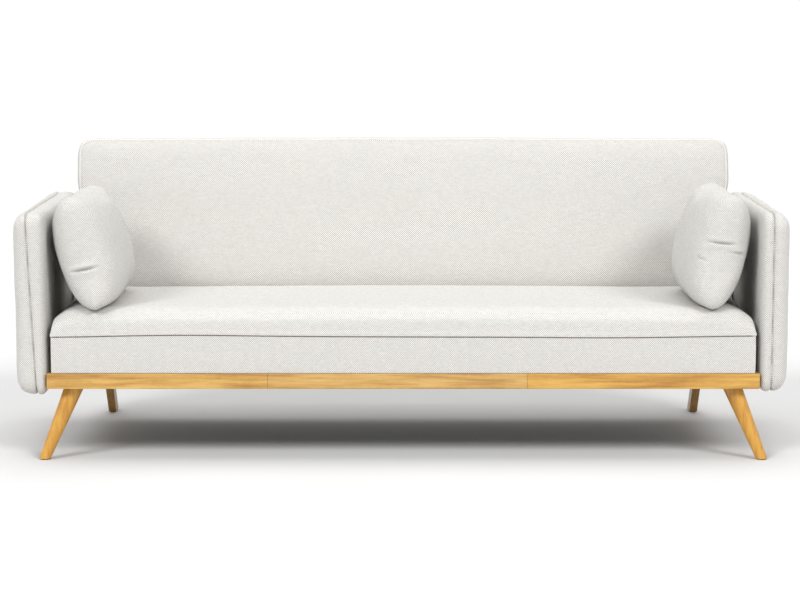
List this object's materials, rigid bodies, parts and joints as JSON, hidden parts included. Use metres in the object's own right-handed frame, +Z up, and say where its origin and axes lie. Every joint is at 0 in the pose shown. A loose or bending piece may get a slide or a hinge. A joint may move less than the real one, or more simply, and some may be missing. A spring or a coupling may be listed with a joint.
{
  "type": "sofa bed",
  "caption": "Upholstered click-clack sofa bed with a tilting one-piece back, slab arms, a wooden front rail, splayed wooden legs and loose cushions.",
  "frame": {"origin": "on the floor, under the centre of the sofa's box", "axes": "+Z up, front faces -Y, +X to the sitter's left and to the viewer's right"},
  "size_m": [2.01, 0.8, 0.7899],
  "materials": {
    "upholstery": "woven, matt",
    "show_wood": "satin lacquer",
    "leg_wood": "satin lacquer",
    "frame_timber": "sawn",
    "hardboard": "smooth",
    "filling": "soft foam and wadding",
    "felt": "matt",
    "webbing": "woven elastic",
    "dust_cover": "matt non-woven",
    "glide": "matt",
    "spring_steel": "oiled",
    "zinc_steel": "zinc plated"
  },
  "bodies": {
    "base": {"arm_bolts": "zinc_steel", "arm_spacers": "zinc_steel", "corner_blocks": "frame_timber", "dust_cover": "dust_cover", "front_leg_bolts": "zinc_steel", "front_rail": "show_wood", "left_arm_frame": "frame_timber", "left_arm_inner_cover": "upholstery", "left_arm_outer_cover": "upholstery", "left_arm_padding": "filling", "left_arm_panels": "hardboard", "left_front_leg": "leg_wood", "left_rear_leg": "leg_wood", "left_seat_plate": "zinc_steel", "left_side_rail": "frame_timber", "leg_glides": "glide", "pawl_pins": "zinc_steel", "pivot_pins": "zinc_steel", "rear_leg_bolts": "zinc_steel", "rear_leg_nuts": "zinc_steel", "rear_rail": "frame_timber", "right_arm_frame": "frame_timber", "right_arm_inner_cover": "upholstery", "right_arm_outer_cover": "upholstery", "right_arm_padding": "filling", "right_arm_panels": "hardboard", "right_front_leg": "leg_wood", "right_rear_leg": "leg_wood", "right_seat_plate": "zinc_steel", "right_side_rail": "frame_timber", "seat_border_cover": "upholstery", "seat_cross_rails": "frame_timber", "seat_end_boards": "frame_timber", "seat_felt": "felt", "seat_foam": "filling", "seat_front_board": "frame_timber", "seat_pad_cover": "upholstery", "seat_plate_screws": "zinc_steel", "seat_plate_washers": "zinc_steel", "seat_rear_board": "frame_timber", "seat_spring_clips": "spring_steel", "seat_springs": "spring_steel"},
    "back": {"back_bottom_rail": "frame_timber", "back_foam": "filling", "back_front_cover": "upholstery", "back_plate_screws": "zinc_steel", "back_plate_spacers": "zinc_steel", "back_posts": "frame_timber", "back_rear_cover": "upholstery", "back_rear_wadding": "filling", "back_top_rail": "frame_timber", "back_webbing": "webbing", "left_back_plate": "zinc_steel", "right_back_plate": "zinc_steel"},
    "left_cushion": {"left_cushion_cover": "upholstery", "left_cushion_filling": "filling"},
    "left_pawl": {"left_pawl": "zinc_steel"},
    "right_cushion": {"right_cushion_cover": "upholstery", "right_cushion_filling": "filling"},
    "right_pawl": {"right_pawl": "zinc_steel"}
  },
  "joints": [
    {"name": "back_recline", "type": "hinge", "parent": "base", "child": "back", "pos_m": [0, 0.178, 0.362], "axis": [-1, 0, 0], "range_deg": [-12, 74.4]},
    {"name": "left_cushion_lift", "type": "slide", "parent": "base", "child": "left_cushion", "axis": [0, 0, 1], "range_m": [0, 0.4]},
    {"name": "right_cushion_lift", "type": "slide", "parent": "base", "child": "right_cushion", "axis": [0, 0, 1], "range_m": [0, 0.4]},
    {"name": "left_pawl_swing", "type": "hinge", "parent": "base", "child": "left_pawl", "pos_m": [-0.92, 0.128, 0.342], "axis": [1, 0, 0], "range_deg": [0, 12], "stiffness_Nm_per_rad": 0.05},
    {"name": "right_pawl_swing", "type": "hinge", "parent": "base", "child": "right_pawl", "pos_m": [0.92, 0.128, 0.342], "axis": [1, 0, 0], "range_deg": [0, 12], "stiffness_Nm_per_rad": 0.05}
  ]
}
